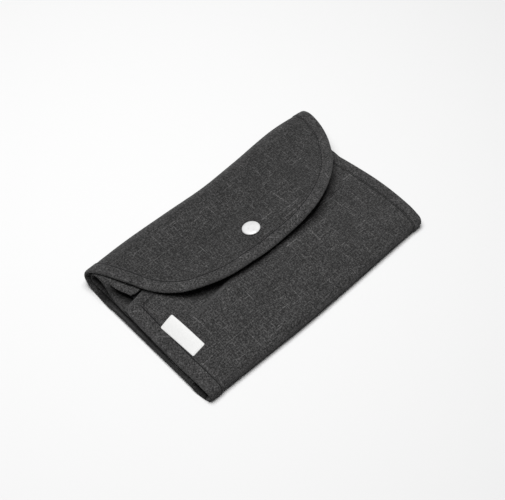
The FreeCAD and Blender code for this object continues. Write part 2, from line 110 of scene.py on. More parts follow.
def through(x, points):
    """A smooth curve through (x, value) points, level beyond its ends."""
    knots, values = np.array(points, float).T
    slopes = np.gradient(values, knots)
    x = np.clip(x, knots[0], knots[-1])
    i = np.clip(np.searchsorted(knots, x, side="right") - 1, 0, len(knots) - 2)
    width = knots[i + 1] - knots[i]
    t = (x - knots[i]) / width
    rise = 3 * t**2 - 2 * t**3
    lead = (t**3 - 2 * t**2 + t) * width * slopes[i]
    trail = (t**3 - t**2) * width * slopes[i + 1]
    return values[i] + (values[i + 1] - values[i]) * rise + lead + trail


def ripples(x, y, wavelength, seed):
    """Gentle waves in many directions, about -1 to 1, the same on every run."""
    random = np.random.default_rng(seed)
    total = np.zeros(np.broadcast(x, y).shape)
    waves = 8
    for _ in range(waves):
        heading = random.uniform(0, math.pi)
        length = wavelength * random.uniform(0.7, 1.6)
        along = x * math.cos(heading) + y * math.sin(heading)
        total += np.sin(along * 2 * math.pi / length + random.uniform(0, 2 * math.pi))
    return total / math.sqrt(2 * waves)


def run_length(path):
    """Distance along a path, from 0."""
    return np.r_[0, np.cumsum(np.linalg.norm(np.diff(path, axis=0), axis=1))]


def smooth_path(points, step):
    """Evenly spaced points on a smooth curve through the given ones."""
    points = np.array(points, float)
    chord = run_length(points)
    fine = np.linspace(0, chord[-1], 1200)
    curve = np.stack([through(fine, np.c_[chord, values]) for values in points.T], -1)
    length = run_length(curve)
    even = np.linspace(0, length[-1], max(2, int(round(length[-1] / step)) + 1))
    return np.stack([np.interp(even, length, values) for values in curve.T], -1)


def right_of(path):
    """Unit vectors to the right of a flat path's direction of travel."""
    ahead = np.gradient(path, axis=0)
    ahead /= np.linalg.norm(ahead, axis=1, keepdims=True)
    return np.stack([ahead[:, 1], -ahead[:, 0]], -1)


def grid(first, second):
    """Both values at every place of a grid, as two arrays."""
    return np.meshgrid(first, second, indexing="ij")


# ------------ the bag's faces
# A face gives the outer side of a sheet. The back face runs from the seam under the back fold,
# round the fold, to the flap's free edge; the front face runs from the seam under the front fold to the
# mouth. Both count 0 at the top of their fold.

# How far each fold stands out beyond its half circle, along x.
BACK_BULGE = [(-119, 2.6), (-78, 3.6), (-35, 2.0), (4, 0.0), (40, 1.8), (94, 4.8), (122, 1.6)]
FRONT_BULGE = [(-118, -0.6), (-60, 0.9), (-20, 1.8), (30, 1.3), (87, 0.0), (114, -0.4)]
# The flap's height along y, in its middle and towards its two sides.
FLAP_MIDDLE = [(-17, 26.3), (-8, 26.0), (0, 25.4), (10.5, 24.0), (19, 22.9), (30, 22.4), (45, 23.2),
               (60, 24.0)]
FLAP_LEFT = [(-17, 24.2), (0, 23.4), (12, 22.8), (28, 22.5), (45, 23.2), (60, 24.0)]
FLAP_RIGHT = [(-17, 29.6), (0, 28.0), (19, 25.6), (34, 24.1), (50, 23.8), (60, 24.0)]
FLAP_WAVE = 0.32
# The snap pulls the flap's tip down, over this width.
TIP_DROOP = 2.4
TIP_WIDTH = 21.0


def flap_height(x, y):
    """The flap's outer side. It has no waves at the snap and at the back fold."""
    middle = through(y, FLAP_MIDDLE)
    left = (through(y, FLAP_LEFT) - middle) * ramp(x, -12, -97)
    right = (through(y, FLAP_RIGHT) - middle) * ramp(x, 10, 70)
    free = ramp(np.hypot(x - SNAP_X, y - SNAP_Y), 9, 27) * ramp(y, BACK_FOLD_Y, BACK_FOLD_Y - 14)
    wave = FLAP_WAVE * ripples(x, y, 52, seed=4) * free
    droop = TIP_DROOP * np.exp(-(((x - SNAP_X) / TIP_WIDTH) ** 2)) * ramp(y, 4, -12)
    return middle + left + right + wave - droop


def back_face(x, q):
    """A point of the back face: q runs along the cloth."""
    turn = np.clip(-q / BACK_RADIUS, 0.0, math.pi)
    reach = BACK_RADIUS + through(x, BACK_BULGE)
    under = np.maximum(BACK_SEAM - q, 0.0)
    y = BACK_FOLD_Y + reach * np.sin(turn) - np.maximum(q, 0.0) - under
    fold = BACK_RADIUS * (1 + np.cos(turn))
    z = np.where(q > 0, flap_height(x, y), fold)
    return np.stack([x, y, z], -1)


# The panel's height along y, in its plump middle and at its left edge. It sinks to a level on the right.
PANEL_MIDDLE = [(-67, 10.0), (-58, 11.2), (-48, 12.9), (-35, 14.9), (-20, 16.8), (-8, 17.6), (2, 17.6),
                (10.5, 17.35), (20, 17.9), (31, 18.8)]
PANEL_LEFT_EDGE = [(-67, 10.0), (-52, 9.4), (-30, 9.4), (0, 10.0), (25, 10.2), (50, 10.0)]
PANEL_RIGHT_LEVEL = 11.2
PANEL_WAVE = 0.3
# A valley comes out from under the flap here and heads left. The panel dips beyond it, after a ridge.
VALLEY_X = -37.0
VALLEY_Y = -10.5
VALLEY_HEADING = (-0.98, -0.18)
VALLEY_DEPTH = 5.6
MOUTH_DIP_SHARE = 0.3
RIDGE_HEIGHT = 1.1
RIDGE_BEFORE = 4.0
RIDGE_WIDTH = 5.0


def panel_height(x, y):
    """The panel's outer side."""
    middle = through(y, PANEL_MIDDLE)
    right = np.maximum(middle - PANEL_RIGHT_LEVEL, 0.0) * ramp(x, 8, 98)
    beyond = (x - VALLEY_X) * VALLEY_HEADING[1] - (y - VALLEY_Y) * VALLEY_HEADING[0]
    dip = VALLEY_DEPTH * ramp(beyond, 0, 6.5) * ramp(x, -26, -42) * ramp(x, -94, -64)
    dip *= MOUTH_DIP_SHARE + (1 - MOUTH_DIP_SHARE) * ramp(y, 18, 2)
    ridge = RIDGE_HEIGHT * np.exp(-(((beyond + RIDGE_BEFORE) / RIDGE_WIDTH) ** 2))
    ridge *= ramp(x, -22, -42) * ramp(x, -92, -64)
    wave = PANEL_WAVE * ripples(x, y, 46, seed=9) * ramp(y, FRONT_FOLD_Y, FRONT_FOLD_Y + 16)
    height = middle - right - dip + ridge + wave
    return height + (through(y, PANEL_LEFT_EDGE) - height) * ramp(x, -88, -117)


def front_face(x, p):
    """A point of the front face: p runs along the cloth."""
    turn = np.clip(-p / FRONT_RADIUS, 0.0, math.pi)
    reach = FRONT_RADIUS + through(x, FRONT_BULGE)
    under = np.maximum(FRONT_SEAM - p, 0.0)
    y = FRONT_FOLD_Y - reach * np.sin(turn) + np.maximum(p, 0.0) * PANEL_LEAN + under
    fold = FRONT_RADIUS * (1 + np.cos(turn))
    z = np.where(p > 0, panel_height(x, y), fold)
    return np.stack([x, y, z], -1)


# The bottom sheet's margins curl up from this distance on, by this much turn for each millimetre.
CURL_START = 116.9
CURL_BEND = 0.385
FLAT_BEND = 1e-5


def bottom_face(x, y):
    """The sheet on the floor. Its bound margins curl up a little, but not at the two folds."""
    over = np.maximum(np.abs(x) - CURL_START, 0.0)
    free = ramp(y, FRONT_FOLD_Y, FRONT_FOLD_Y + 16) * ramp(y, BACK_FOLD_Y, BACK_FOLD_Y - 22)
    bend = CURL_BEND * free + FLAT_BEND
    span = np.minimum(np.abs(x), CURL_START) + np.sin(over * bend) / bend
    rise = (1 - np.cos(over * bend)) / bend
    return np.stack([np.sign(x) * span, y, rise], -1)


# Which side of a face is outside: the sign of the normal that lifted() finds.
OUTWARD = {back_face: -1.0, front_face: 1.0, bottom_face: -1.0}


def lifted(face, a, b, height):
    """Points at a height above a face, along its normal; a negative height is inside the bag."""
    step = 0.05
    across = face(a + step, b) - face(a - step, b)
    along = face(a, b + step) - face(a, b - step)
    normal = np.cross(across, along)
    normal *= OUTWARD[face] / np.linalg.norm(normal, axis=-1, keepdims=True)
    return face(a, b) + normal * np.expand_dims(height * np.ones(a.shape), -1)


# ------------ mesh builders


def new_object(name, data):
    """An object in the scene."""
    made = bpy.data.objects.new(name, data)
    bpy.context.scene.collection.objects.link(made)
    return made


def finish_mesh(name, vertices, faces, uv, material, seam_shade=None):
    """A smooth object from millimetre points, with one UV, in metres of cloth, for each vertex.
    The last argument, 0 to 1 for each vertex, is painted shade: where a seam pulls the cloth in, and along a
    tape's inner edge, the colour is darkened to stand for the shadow there."""
    mesh = bpy.data.meshes.new(name)
    mesh.from_pydata((np.asarray(vertices) * MM).tolist(), [], [list(map(int, f)) for f in faces])
    corner = np.zeros(len(mesh.loops), np.int32)
    mesh.loops.foreach_get("vertex_index", corner)
    layer = mesh.uv_layers.new(name="cloth")
    layer.data.foreach_set("uv", (np.asarray(uv)[corner] * MM).astype(np.float32).ravel())
    shaped = bmesh.new()
    shaped.from_mesh(mesh)
    bmesh.ops.recalc_face_normals(shaped, faces=shaped.faces)
    shaped.to_mesh(mesh)
    shaped.free()
    mesh.polygons.foreach_set("use_smooth", [True] * len(mesh.polygons))
    mesh.materials.append(material)
    if seam_shade is not None:
        shade = mesh.attributes.new("seam_shade", "FLOAT", "POINT")
        shade.data.foreach_set("value", np.asarray(seam_shade, np.float32))
    return new_object(name, mesh)


def quads(index):
    """Quads of a grid of vertex numbers."""
    return np.stack([index[:-1, :-1], index[1:, :-1], index[1:, 1:], index[:-1, 1:]], -1).reshape(-1, 4)


# How far a sheet's rounded rim stands out, as a share of its thickness.
RIM_ROUNDING = 0.4


def slab(name, outer, inner, uv, material, tube=False):
    """A closed sheet with a rounded rim between two grids of points. A tube's columns close on themselves."""
    rows, columns = outer.shape[:2]
    count = rows * columns
    index = np.arange(count).reshape(rows, columns)
    if tube:
        wrapped = np.c_[index, index[:, 0]]
        rims = [(index[0], index[1]), (index[-1], index[-2])]
    else:
        wrapped = index
        ring = np.r_[index[0, :-1], index[:-1, -1], index[-1, :0:-1], index[:0:-1, 0]]
        row = np.clip(ring // columns, 1, rows - 2)
        column = np.clip(ring % columns, 1, columns - 2)
        rims = [(ring, row * columns + column)]
    outside = outer.reshape(-1, 3)
    inside = inner.reshape(-1, 3)
    middle = (outside + inside) / 2
    vertices = [outside, inside]
    flat = [uv.reshape(-1, 2), uv.reshape(-1, 2)]
    faces = [quads(wrapped), quads(wrapped)[:, ::-1] + count]
    for edge, neighbour in rims:
        away = middle[edge] - middle[neighbour]
        away /= np.linalg.norm(away, axis=1, keepdims=True)
        thick = np.linalg.norm(outside[edge] - inside[edge], axis=1, keepdims=True)
        first = sum(len(v) for v in vertices)
        rim = first + np.arange(len(edge))
        vertices.append(middle[edge] + away * thick * RIM_ROUNDING)
        flat.append(uv.reshape(-1, 2)[edge])
        turn = [np.roll(v, -1) for v in (edge, rim)]
        faces.append(np.stack([edge, turn[0], turn[1], rim], -1))
        faces.append(np.stack([rim, turn[1], turn[0] + count, edge + count], -1))
    return finish_mesh(name, np.vstack(vertices), np.vstack(faces), np.vstack(flat), material)


def band(name, rings, uv, material, seam_shade=None):
    """A closed strip swept through rings of points, with flat ends."""
    rows, columns = rings.shape[:2]
    index = np.arange(rows * columns).reshape(rows, columns)
    faces = quads(np.c_[index, index[:, 0]]).tolist()
    faces += [index[0].tolist(), index[-1][::-1].tolist()]
    return finish_mesh(name, rings.reshape(-1, 3), faces, uv.reshape(-1, 2), material, seam_shade)


def face_slab(name, face, a, b, top, bottom, material):
    """A sheet between two heights of a face."""
    outer = lifted(face, a, b, top)
    inner = lifted(face, a, b, bottom)
    return slab(name, outer, inner, np.stack([a, b], -1), material)


# A binding's section: distance in from the edge, and height over the cloth's outer face, where 1 is the
# tape's own thickness. It folds round the edge, and the stitch line pulls it down.
TAPE_UPPER = [(1.0, 0.02), (0.995, 0.8), (0.965, 1.0), (0.93, 0.85), (0.918, 0.3), (0.858, 0.3),
              (0.846, 0.85), (0.81, 1.1), (0.6, 1.2), (0.35, 1.2), (0.15, 0.95), (0.04, 0.5)]
TAPE_EDGE = [(-0.05, -0.25), (-0.07, -0.5), (-0.05, -0.75)]
TAPE_LOWER = [(0.04, -1.0), (0.3, -1.05), (0.9, -1.05), (1.0, -0.9)]
STITCH_INSET = 0.888
STITCH_HALF_GROOVE = 0.035
TAPE_RIM = 0.99
TAPE_PUCKER = 0.09
FOLD_PUCKER_SHARE = 0.4
TAPE_WAVER = 0.2
UNDER_GAIN = 0.05


def proud(path, start, end):
    """A tape's gain along a path: flat under the bag, and standing proud between start and end."""
    return UNDER_GAIN + (1 - UNDER_GAIN) * ramp(path[:, 1], start, end)


def tape(name, face, path, gain, material, seed, width=TAPE_WIDTH, thick=CLOTH + LINING):
    """A cloth tape folded over an edge. gain, one value for each path point, scales how proud it stands."""
    inward = right_of(path)
    along = run_length(path)
    sections = TAPE_UPPER + TAPE_EDGE + TAPE_LOWER
    rings = []
    flat = []
    pucker = ripples(along, 0 * along, 7.5, seed) * TAPE_PUCKER
    waver = ripples(along, 0 * along, 38, seed + 1) * TAPE_WAVER
    for depth, level in sections:
        inset = depth * (width + waver)
        spot = path + inward * inset[:, None]
        if level > 0:
            share = 1.0 if depth > 0.3 else FOLD_PUCKER_SHARE
            height = level * (TAPE + pucker * share) * gain
        else:
            height = level * (thick + TAPE)
        rings.append(lifted(face, spot[:, 0], spot[:, 1], height))
        flat.append(np.stack([along, inset + (0 if level > 0 else 3 * thick)], -1))
    rings = np.stack(rings, 1)
    flat = np.stack(flat, 1)
    bias_cut = np.stack([flat[..., 0] + flat[..., 1], flat[..., 1] - flat[..., 0]], -1) * math.sqrt(0.5)
    # Painted shade: the stitch groove and the tape's inner edge are marked to be darkened, standing for their
    # shadow.
    seam_shade_rows = [abs(depth - STITCH_INSET) < STITCH_HALF_GROOVE or depth > TAPE_RIM for depth, _ in sections]
    return band(name, rings, bias_cut, material, np.tile(seam_shade_rows, len(path)))


# A stitch's outline: place along it, share of the thread's radius, and lift, in millimetres.
STITCH_SIDES = 6
STITCH_SHARE = 0.84
STITCH_START = 0.12
STITCH_SECTION = [(0.0, 0.3, -0.2), (0.14, 0.85, 0.02), (0.5, 1.0, 0.1), (0.86, 0.85, 0.02), (1.0, 0.3, -0.2)]


def stitches(name, runs, material, pitch=2.6, radius=0.27):
    """Separate thread stitches. Each run is (face, path in the face, height over it)."""
    part, size, lift = np.array(STITCH_SECTION).T
    angle = np.linspace(0, 2 * math.pi, STITCH_SIDES, endpoint=False)[:, None]
    rings = len(STITCH_SECTION)
    index = np.arange(rings * STITCH_SIDES).reshape(rings, STITCH_SIDES)
    one_stitch = quads(np.c_[index, index[:, 0]]).tolist() + [index[0].tolist(), index[-1][::-1].tolist()]
    vertices = []
    faces = []
    for face, path, height in runs:
        along = run_length(path)
        for k in range(max(1, int(along[-1] / pitch))):
            s = (k + STITCH_START + part * STITCH_SHARE) * pitch
            a, b, base = (np.interp(s, along, values) for values in (path[:, 0], path[:, 1], height))
            core = lifted(face, a, b, base + lift)
            up = lifted(face, a, b, base + lift + 1.0) - core
            ahead = core[-1] - core[0]
            side = np.cross(up, ahead / np.linalg.norm(ahead))
            round_core = side[:, None] * np.cos(angle) + up[:, None] * np.sin(angle)
            faces += [[len(vertices) + v for v in corners] for corners in one_stitch]
            vertices += list((core[:, None] + round_core * (size * radius)[:, None, None]).reshape(-1, 3))
    flat = np.tile(np.argwhere(index >= 0).astype(float), (len(vertices) // index.size, 1))
    return finish_mesh(name, vertices, faces, flat, material)


def inset_path(path, distance):
    """The same path, moved into the cloth."""
    return path + right_of(path) * distance


# ------------ materials


class Nodes:
    """A new material or world, with short calls that add to its node tree."""

    def __init__(self, name, kind="materials", shader="Principled BSDF"):
        self.owner = getattr(bpy.data, kind).new(name)
        self.owner.use_nodes = True
        self.tree = self.owner.node_tree
        self.shader = self.tree.nodes[shader]

    def new(self, kind, **settings):
        """A node, with its settings."""
        node = self.tree.nodes.new(kind)
        for key, value in settings.items():
            setattr(node, key, value)
        return node

    def link(self, source, socket):
        self.tree.links.new(source, socket)

    def feed(self, socket, value):
        """Links another node's result to a socket, or sets a plain value there."""
        if isinstance(value, bpy.types.NodeSocket):
            self.link(value, socket)
        else:
            socket.default_value = value

    def fill(self, node, **values):
        """Feeds a node's inputs by name, with _ for a space."""
        for key, value in values.items():
            self.feed(node.inputs[key.replace("_", " ")], value)

    def math(self, operation, *values):
        node = self.new("ShaderNodeMath", operation=operation)
        for socket, value in zip(node.inputs, values):
            self.feed(socket, value)
        return node.outputs[0]

    def times(self, a, b):
        return self.math("MULTIPLY", a, b)

    def plus(self, a, b):
        return self.math("ADD", a, b)

    def half_up(self, value):
        """From -1 to 1 into 0 to 1."""
        return self.math("MULTIPLY_ADD", value, 0.5, 0.5)

    def split(self, vector):
        """A vector's x, y and z."""
        node = self.new("ShaderNodeSeparateXYZ")
        self.link(vector, node.inputs[0])
        return node.outputs

    def cloth(self):
        """The place on the flat cloth, in metres."""
        u, v, _ = self.split(self.new("ShaderNodeUVMap", uv_map="cloth").outputs[0])
        return u, v

    def place(self):
        """The place in the object's own frame."""
        return self.new("ShaderNodeTexCoord").outputs["Object"]

    def vector(self, x, y, z=0.0):
        node = self.new("ShaderNodeCombineXYZ")
        for socket, value in zip(node.inputs, (x, y, z)):
            self.feed(socket, value)
        return node.outputs[0]

    def noise(self, vector, scale, detail=2.0, roughness=0.5):
        node = self.new("ShaderNodeTexNoise")
        self.fill(node, Vector=vector, Scale=scale, Detail=detail, Roughness=roughness)
        return node.outputs["Fac"]

    def blend(self, share, low, high):
        """low where share is 0, high where it is 1."""
        node = self.new("ShaderNodeMix", data_type="FLOAT")
        self.fill(node, Factor=share, A=low, B=high)
        return node.outputs["Result"]

    def stretch(self, value, low, high, to_low=0.0, to_high=1.0):
        """Maps low to high onto to_low to to_high, smoothly."""
        node = self.new("ShaderNodeMapRange", interpolation_type="SMOOTHSTEP")
        self.fill(node, Value=value, From_Min=low, From_Max=high, To_Min=to_low, To_Max=to_high)
        return node.outputs["Result"]

    def tint(self, value, colour):
        """Base colour: a colour times a grey value."""
        grey = self.new("ShaderNodeCombineColor")
        for socket in grey.inputs:
            self.link(value, socket)
        node = self.new("ShaderNodeMix", data_type="RGBA", blend_type="MULTIPLY")
        self.fill(node, Factor=1.0, A=(*colour, 1.0), B=grey.outputs[0])
        self.set(Base_Color=node.outputs["Result"])

    def bump(self, height, distance, strength=1.0):
        node = self.new("ShaderNodeBump")
        self.fill(node, Strength=strength, Distance=distance, Height=height)
        self.set(Normal=node.outputs["Normal"])

    def set(self, **values):
        """The shader's own inputs."""
        self.fill(self.shader, **values)


YARN_SCALE = 170.0
YARN_STEP = 1.73
SLUB_SCALE = 34.0
SLUB_STEP = 2.9


def woven(name, colour, pitch, light, dark, slubs, depth=0.00016, sheen=0.08):
    """Plain weave from melange yarn. pitch is one thread's width in metres."""
    n = Nodes(name)
    u, v = n.cloth()
    thread_u = n.math("DIVIDE", u, pitch)
    thread_v = n.math("DIVIDE", v, pitch)
    warp = n.math("FLOOR", thread_u)
    weft = n.math("FLOOR", thread_v)
    over = n.math("FLOORED_MODULO", n.plus(warp, weft), 2.0)
    crown_u = n.math("SINE", n.times(n.math("FRACT", thread_u), math.pi))
    crown_v = n.math("SINE", n.times(n.math("FRACT", thread_v), math.pi))
    height = n.blend(over, n.times(crown_u, n.half_up(crown_v)), n.times(crown_v, n.half_up(crown_u)))
    # Each thread has its own shade, and a few have thick light stretches.
    warp_yarn = n.noise(n.vector(n.times(warp, YARN_STEP), n.times(v, YARN_SCALE)), 1.0, 3.0, 0.7)
    weft_yarn = n.noise(n.vector(n.times(u, YARN_SCALE), n.times(weft, YARN_STEP), 31.0), 1.0, 3.0, 0.7)
    yarn = n.stretch(n.blend(over, warp_yarn, weft_yarn), 0.28, 0.76)
    warp_slub = n.noise(n.vector(n.times(warp, SLUB_STEP), n.times(v, SLUB_SCALE), 7.0), 1.0, 1.0)
    weft_slub = n.noise(n.vector(n.times(u, SLUB_SCALE), n.times(weft, SLUB_STEP), 53.0), 1.0, 1.0)
    slub = n.stretch(n.math("MAXIMUM", warp_slub, weft_slub), 0.62, 0.8, 0.0, slubs)
    flecks = n.noise(n.vector(u, v, 3.0), 740.0, 1.0)
    mottle = n.noise(n.vector(u, v), 45.0, 3.0)
    # Painted shade: a per-vertex attribute darkens the colour to 6% in stitch grooves and along tape edges,
    # standing for their shadow.
    seam_shade = n.new("ShaderNodeAttribute", attribute_name="seam_shade").outputs["Fac"]
    value = n.plus(n.blend(yarn, dark, light), slub)
    # Painted shade and highlight: the colour darkens towards the gaps between thread crowns and lightens on
    # the crowns.
    value = n.times(value, n.stretch(height, 0.0, 0.9, 0.62, 1.1))
    value = n.times(value, n.stretch(flecks, 0.32, 0.68, 0.5, 1.58))
    value = n.times(value, n.stretch(mottle, 0.25, 0.75, 0.9, 1.1))
    value = n.times(value, n.stretch(seam_shade, 0.0, 1.0, 1.0, 0.06))
    n.tint(value, colour)
    n.bump(n.plus(height, n.times(yarn, 0.4)), depth)
    n.set(Roughness=0.92, Sheen_Weight=sheen, Sheen_Roughness=0.55, Specular_IOR_Level=0.18)
    return n.owner


def satin(name, colour, depth=0.00006, rib=0.0006):
    """A dense woven ribbon with a soft shine."""
    n = Nodes(name)
    u, v = n.cloth()
    ribs = n.math("SINE", n.times(v, 2 * math.pi / rib))
    fibre = n.noise(n.vector(n.times(u, 6.0), v), 420.0, 2.0)
    # Painted shade and highlight: the rib crests are drawn a little lighter and the troughs a little darker.
    n.tint(n.math("MULTIPLY_ADD", ribs, 0.02, n.stretch(fibre, 0.2, 0.8, 0.93, 1.03)), colour)
    n.bump(n.plus(ribs, fibre), depth, 0.5)
    n.set(Roughness=0.55, Sheen_Weight=0.1, Specular_IOR_Level=0.35)
    return n.owner


def ribbed(name, colour, rib):
    """Elastic or zip tape: fine raised ribs along one direction."""
    n = Nodes(name)
    u, v = n.cloth()
    phase = n.times(v, 2 * math.pi / rib)
    cross = n.times(u, 2 * math.pi / (rib * 0.8))
    ribs = n.half_up(n.math("SINE", phase))
    knit = n.half_up(n.math("SINE", n.plus(cross, n.times(phase, 0.5))))
    fuzz = n.noise(n.vector(u, v), 1500.0, 2.0)
    height = n.plus(ribs, n.times(knit, 0.5))
    # Painted shade and highlight: the colour follows the rib height, darker in the grooves and lighter on the
    # ribs.
    n.tint(n.times(n.stretch(height, 0.0, 1.4, 0.6, 1.2), n.stretch(fuzz, 0.2, 0.8, 0.8, 1.2)), colour)
    n.bump(height, 0.00012)
    n.set(Roughness=0.85, Sheen_Weight=0.15, Specular_IOR_Level=0.25)
    return n.owner


def thread(name, colour, twist_pitch=0.0005):
    """Twisted polyester thread."""
    n = Nodes(name)
    x, y, z = n.split(n.place())
    slant = n.plus(x, n.plus(y, n.times(z, 2.0)))
    twist = n.half_up(n.math("SINE", n.times(slant, 2 * math.pi / twist_pitch)))
    # Painted shade and highlight: the colour follows the twist, darker in the grooves between plies and
    # lighter on their crests.
    n.tint(n.stretch(twist, 0.0, 1.0, 0.7, 1.15), colour)
    n.bump(twist, 0.00004)
    n.set(Roughness=0.6, Sheen_Weight=0.1, Specular_IOR_Level=0.3)
    return n.owner


def hard(name, colour, metallic, roughness, grain, coat=0.0):
    """Enamel, plated metal or nylon: an even colour with fine wear in its gloss."""
    n = Nodes(name)
    place = n.place()
    wear = n.noise(place, 260.0, 4.0, 0.6)
    specks = n.noise(place, 2600.0, 2.0)
    n.tint(n.stretch(wear, 0.3, 0.7, 0.94, 1.04), colour)
    n.set(Roughness=n.stretch(wear, 0.3, 0.75, roughness * 0.8, roughness * 1.35))
    n.bump(n.plus(wear, n.times(specks, 0.3)), grain)
    n.set(Metallic=metallic, Coat_Weight=coat, Coat_Roughness=0.12)
    return n.owner


CHARCOAL = (1.0, 0.985, 0.985)
BLACK = (0.95, 0.95, 1.0)
# The outer cloth's thread width, in metres.
PITCH = 0.00072
canvas = woven("canvas_melange", CHARCOAL, PITCH, light=0.066, dark=0.006, slubs=0.055)
# Painted shade: a darker copy of the canvas for the flap, so that it reads less lit than the front panel.
shaded_flap_canvas = woven("flap_melange", CHARCOAL, PITCH, light=0.056, dark=0.005, slubs=0.05)
tape_cloth = woven("binding_melange", CHARCOAL, PITCH, light=0.068, dark=0.008, slubs=0.05)
# Painted shade: a much darker copy of the binding for the bottom sheet's end tapes, standing for the shade on
# their curled, floor-facing margins.
shaded_end_tape_cloth = woven("end_binding_melange", CHARCOAL, PITCH, light=0.025, dark=0.003, slubs=0.02)
lining_cloth = woven("lining_black", BLACK, 0.0004, light=0.018, dark=0.008, slubs=0.0, sheen=0.05)
inner_cloth = woven("inner_bag_cloth", CHARCOAL, 0.0006, light=0.056, dark=0.010, slubs=0.03)
elastic = ribbed("elastic_black", (0.02, 0.02, 0.022), 0.0011)
zip_weave = ribbed("zip_tape_black", (0.022, 0.022, 0.024), 0.0013)
dark_thread = thread("thread_black", (0.004, 0.004, 0.0045))
white_thread = thread("thread_white", (0.66, 0.66, 0.65))
label_satin = satin("label_white", (0.6, 0.6, 0.595))
enamel = hard("snap_white_enamel", (0.56, 0.56, 0.56), 0.0, 0.3, 0.00001, coat=0.3)
nickel = hard("snap_nickel", (0.55, 0.54, 0.52), 1.0, 0.3, 0.00002)
gunmetal = hard("zip_black_metal", (0.06, 0.06, 0.065), 1.0, 0.38, 0.00002)
nylon = hard("zip_nylon", (0.018, 0.018, 0.02), 0.0, 0.42, 0.00001)


# ------------ how pieces ride


def bending(piece, body, slot, *nodes):
    """A piece that starts on the folded bag: its place is baked into its mesh, and the CAD nodes it replaces
    are hidden.
    """
    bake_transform(piece)
    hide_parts(*nodes)


def riding(piece, body, slot, *nodes):
    """A piece that moves rigidly with one body."""
    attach(piece, body)
    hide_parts(*nodes)


# ------------ outlines

LEFT_END = -118.4
RIGHT_END = 119.8
FLAP_OUTLINE = smooth_path(
    [(LEFT_END, BACK_SEAM), (-118.2, -24), (-117.0, -12), (-113.6, -4), (-109.0, 4), (-105.0, 12),
     (-100.4, 21), (-95.2, 32), (-87.0, 44.5), (-75.0, 55.5), (-58.5, 63.6), (-38, 70.2), (-14, 72.6),
     (12, 73.0), (38, 72.5), (59.9, 68.2), (78.5, 60.0), (94.2, 48.8), (106.2, 34.9), (114.7, 20.3),
     (119.0, 6), (120.2, -6), (120.6, -18), (RIGHT_END, BACK_SEAM)],
    step=2.0,
)
LEFT_PANEL_EDGE = smooth_path(
    [(-117.6, FRONT_SEAM), (-116.8, -9), (-116.2, -2), (-115.9, 6), (-116.1, 30), (-115.8, 60), (-115.0, 85),
     (-114.2, MOUTH)],
    step=2.0,
)
RIGHT_PANEL_EDGE = smooth_path(
    [(110.6, MOUTH), (112.4, 88), (115.6, 67), (117.8, 45), (118.4, 30), (117.6, 10), (116.6, 1),
     (115.6, -6), (115.2, -11), (114.8, FRONT_SEAM)],
    step=2.0,
)
LEFT_BOTTOM_EDGE = smooth_path(
    [(-117.8, FRONT_FOLD_Y), (-118.6, -63), (-119.7, -59), (-121.1, -55), (-122.0, -50), (-122.1, 0),
     (-122.1, 37), (-121.2, 43.5), (-119.9, 49), (-119.0, 54.5), (LEFT_END, BACK_FOLD_Y)],
    step=1.6,
)
RIGHT_BOTTOM_EDGE = smooth_path(
    [(RIGHT_END, BACK_FOLD_Y), (117.6, 46), (115.4, 25), (116.6, 0), (118.0, -25), (117.4, -48),
     (114.8, FRONT_FOLD_Y)],
    step=2.0,
)

CLOTH_INSET = 1.6


def cloth_grid(left, right, b, columns):
    """A grid over a cloth, whose sides lie just inside its bound outlines."""
    low = np.interp(b, left[:, 1], left[:, 0]) + CLOTH_INSET
    high = np.interp(b, right[:, 1], right[:, 0]) - CLOTH_INSET
    share = np.linspace(0, 1, columns)[:, None]
    return low + (high - low) * share, np.broadcast_to(b, (columns, len(b))).copy()


# ------------ bottom sheet

bottom_rows = np.linspace(FRONT_FOLD_Y, BACK_FOLD_Y, 90)
bottom_grid = cloth_grid(LEFT_BOTTOM_EDGE, RIGHT_BOTTOM_EDGE[::-1], bottom_rows, columns=130)
bottom_cloth = face_slab("bottom_cloth", bottom_face, *bottom_grid, 0.0, -CLOTH, canvas)
riding(bottom_cloth, "folded_bag", "canvas", "outer_shell")
bottom_lining = face_slab("bottom_lining", bottom_face, *bottom_grid, -CLOTH, -CLOTH - LINING, lining_cloth)
riding(bottom_lining, "folded_bag", "lining_cloth", "shell_lining")
for side, edge, seed in (("left", LEFT_BOTTOM_EDGE, 11), ("right", RIGHT_BOTTOM_EDGE, 12)):
    gain = np.full(len(edge), UNDER_GAIN)
    # The end tapes take the darker, painted-shade copy of the binding.
    end_tape = tape(f"{side}_end_tape", bottom_face, edge, gain, shaded_end_tape_cloth, seed)
    riding(end_tape, "folded_bag", "binding_tape", f"{side}_end_binding")

# ------------ back fold and flap

# How high a stitch lies in its groove, where the tape has its full gain.
THREAD_RISE = 0.25

tip = int(np.argmax(FLAP_OUTLINE[:, 1]))
flap_left = FLAP_OUTLINE[: tip + 1]
flap_right = FLAP_OUTLINE[: tip - 1 : -1]
flap_rows = np.linspace(BACK_SEAM, FLAP_OUTLINE[tip, 1] - CLOTH_INSET, 88)
flap_grid = cloth_grid(flap_left, flap_right, flap_rows, columns=150)
# The flap takes the darker, painted-shade copy of the canvas.
flap_cloth = face_slab("flap_cloth", back_face, *flap_grid, 0.0, -CLOTH, shaded_flap_canvas)
bending(flap_cloth, "flap", "canvas", "flap_outer")
flap_lining = face_slab("flap_lining_cloth", back_face, *flap_grid, -CLOTH, -CLOTH - LINING, lining_cloth)
bending(flap_lining, "flap", "lining_cloth", "flap_lining")
flap_gain = proud(FLAP_OUTLINE, BACK_SEAM + 3, BACK_SEAM + 17)
flap_tape = tape("flap_tape", back_face, FLAP_OUTLINE, flap_gain, tape_cloth, 21)
bending(flap_tape, "flap", "binding_tape", "flap_binding")
flap_seam = inset_path(FLAP_OUTLINE, TAPE_WIDTH * STITCH_INSET)
flap_thread = stitches("flap_thread", [(back_face, flap_seam, THREAD_RISE * flap_gain)], dark_thread)
bending(flap_thread, "flap", "binding_tape")

